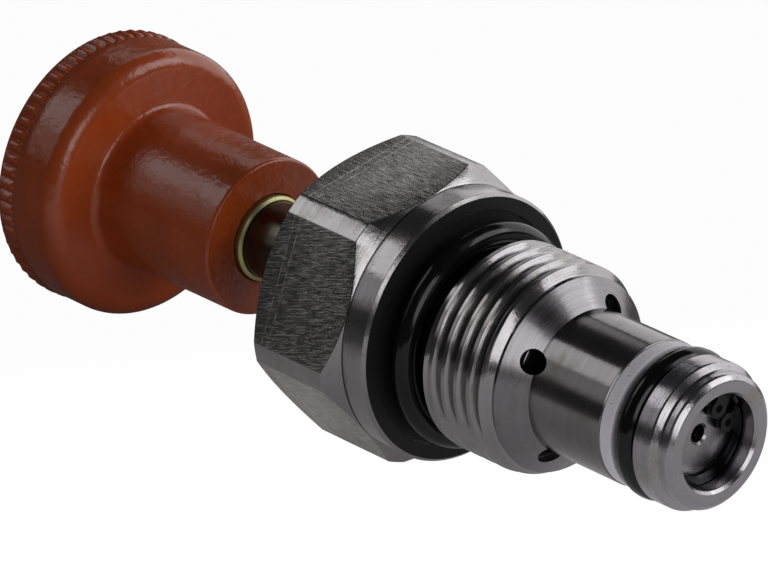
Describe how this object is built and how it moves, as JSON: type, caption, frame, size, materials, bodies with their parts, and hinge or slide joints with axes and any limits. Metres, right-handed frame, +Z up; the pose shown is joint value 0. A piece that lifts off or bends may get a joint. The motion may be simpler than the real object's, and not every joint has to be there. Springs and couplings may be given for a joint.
{
  "type": "cartridge valve",
  "caption": "Screw-in hydraulic cartridge valve with a mushroom push knob, hexagonal steel body, port thread, side ports and a sealed nose.",
  "frame": {"origin": "centre of the flange face that seats on the manifold", "axes": "+X along the valve's axis, from the push knob towards the nose, the way it screws in; +Z up with the axis level; the hexagon's first flat faces 39.85 degrees from +Y towards +Z"},
  "size_m": [0.0933, 0.0316, 0.0304],
  "materials": {
    "machined_steel": "turned and milled bare steel",
    "ground_steel": "ground bare steel",
    "spring_steel": "dark oiled spring steel",
    "zinc_plate": "yellow passivated zinc plate",
    "bronze": "turned bronze",
    "black_rubber": "oiled black nitrile",
    "white_polymer": "smooth white polymer",
    "red_plastic": "semi-gloss moulded red-brown plastic"
  },
  "bodies": {
    "valve_body": {"hex_body": "machined_steel", "cage_sleeve": "ground_steel", "port_o_ring": "black_rubber", "nose_o_ring": "black_rubber", "nose_backup_ring": "white_polymer", "orifice_disc": "machined_steel", "nose_retaining_ring": "spring_steel", "check_seat": "ground_steel", "check_spring": "spring_steel", "return_spring": "spring_steel", "gland_bushing": "bronze", "stem_o_ring": "black_rubber", "stem_backup_ring": "white_polymer", "wiper_ring": "black_rubber", "gland_retaining_ring": "spring_steel"},
    "push_group": {"push_knob": "red_plastic", "knob_bush": "zinc_plate", "stem": "zinc_plate", "stem_retaining_ring": "spring_steel", "plunger": "ground_steel", "plunger_ring": "white_polymer"},
    "spring_seat_slider": {"spring_seat": "machined_steel"},
    "check_ball_body": {"check_ball": "ground_steel"}
  },
  "joints": [
    {"name": "knob_push", "type": "slide", "parent": "valve_body", "child": "spring_seat_slider", "axis": [1, 0, 0], "range_m": [0, 0.0095], "stiffness_N_per_m": 2000, "springref_m": -0.008, "deforming": ["return_spring"]},
    {"name": "knob_turn", "type": "hinge", "parent": "spring_seat_slider", "child": "push_group", "pos_m": [-0.04, 0, 0], "axis": [1, 0, 0], "continuous": true},
    {"name": "check_lift", "type": "slide", "parent": "valve_body", "child": "check_ball_body", "axis": [1, 0, 0], "range_m": [0, 0.001], "stiffness_N_per_m": 100, "springref_m": -0.002, "deforming": ["check_spring"]}
  ]
}
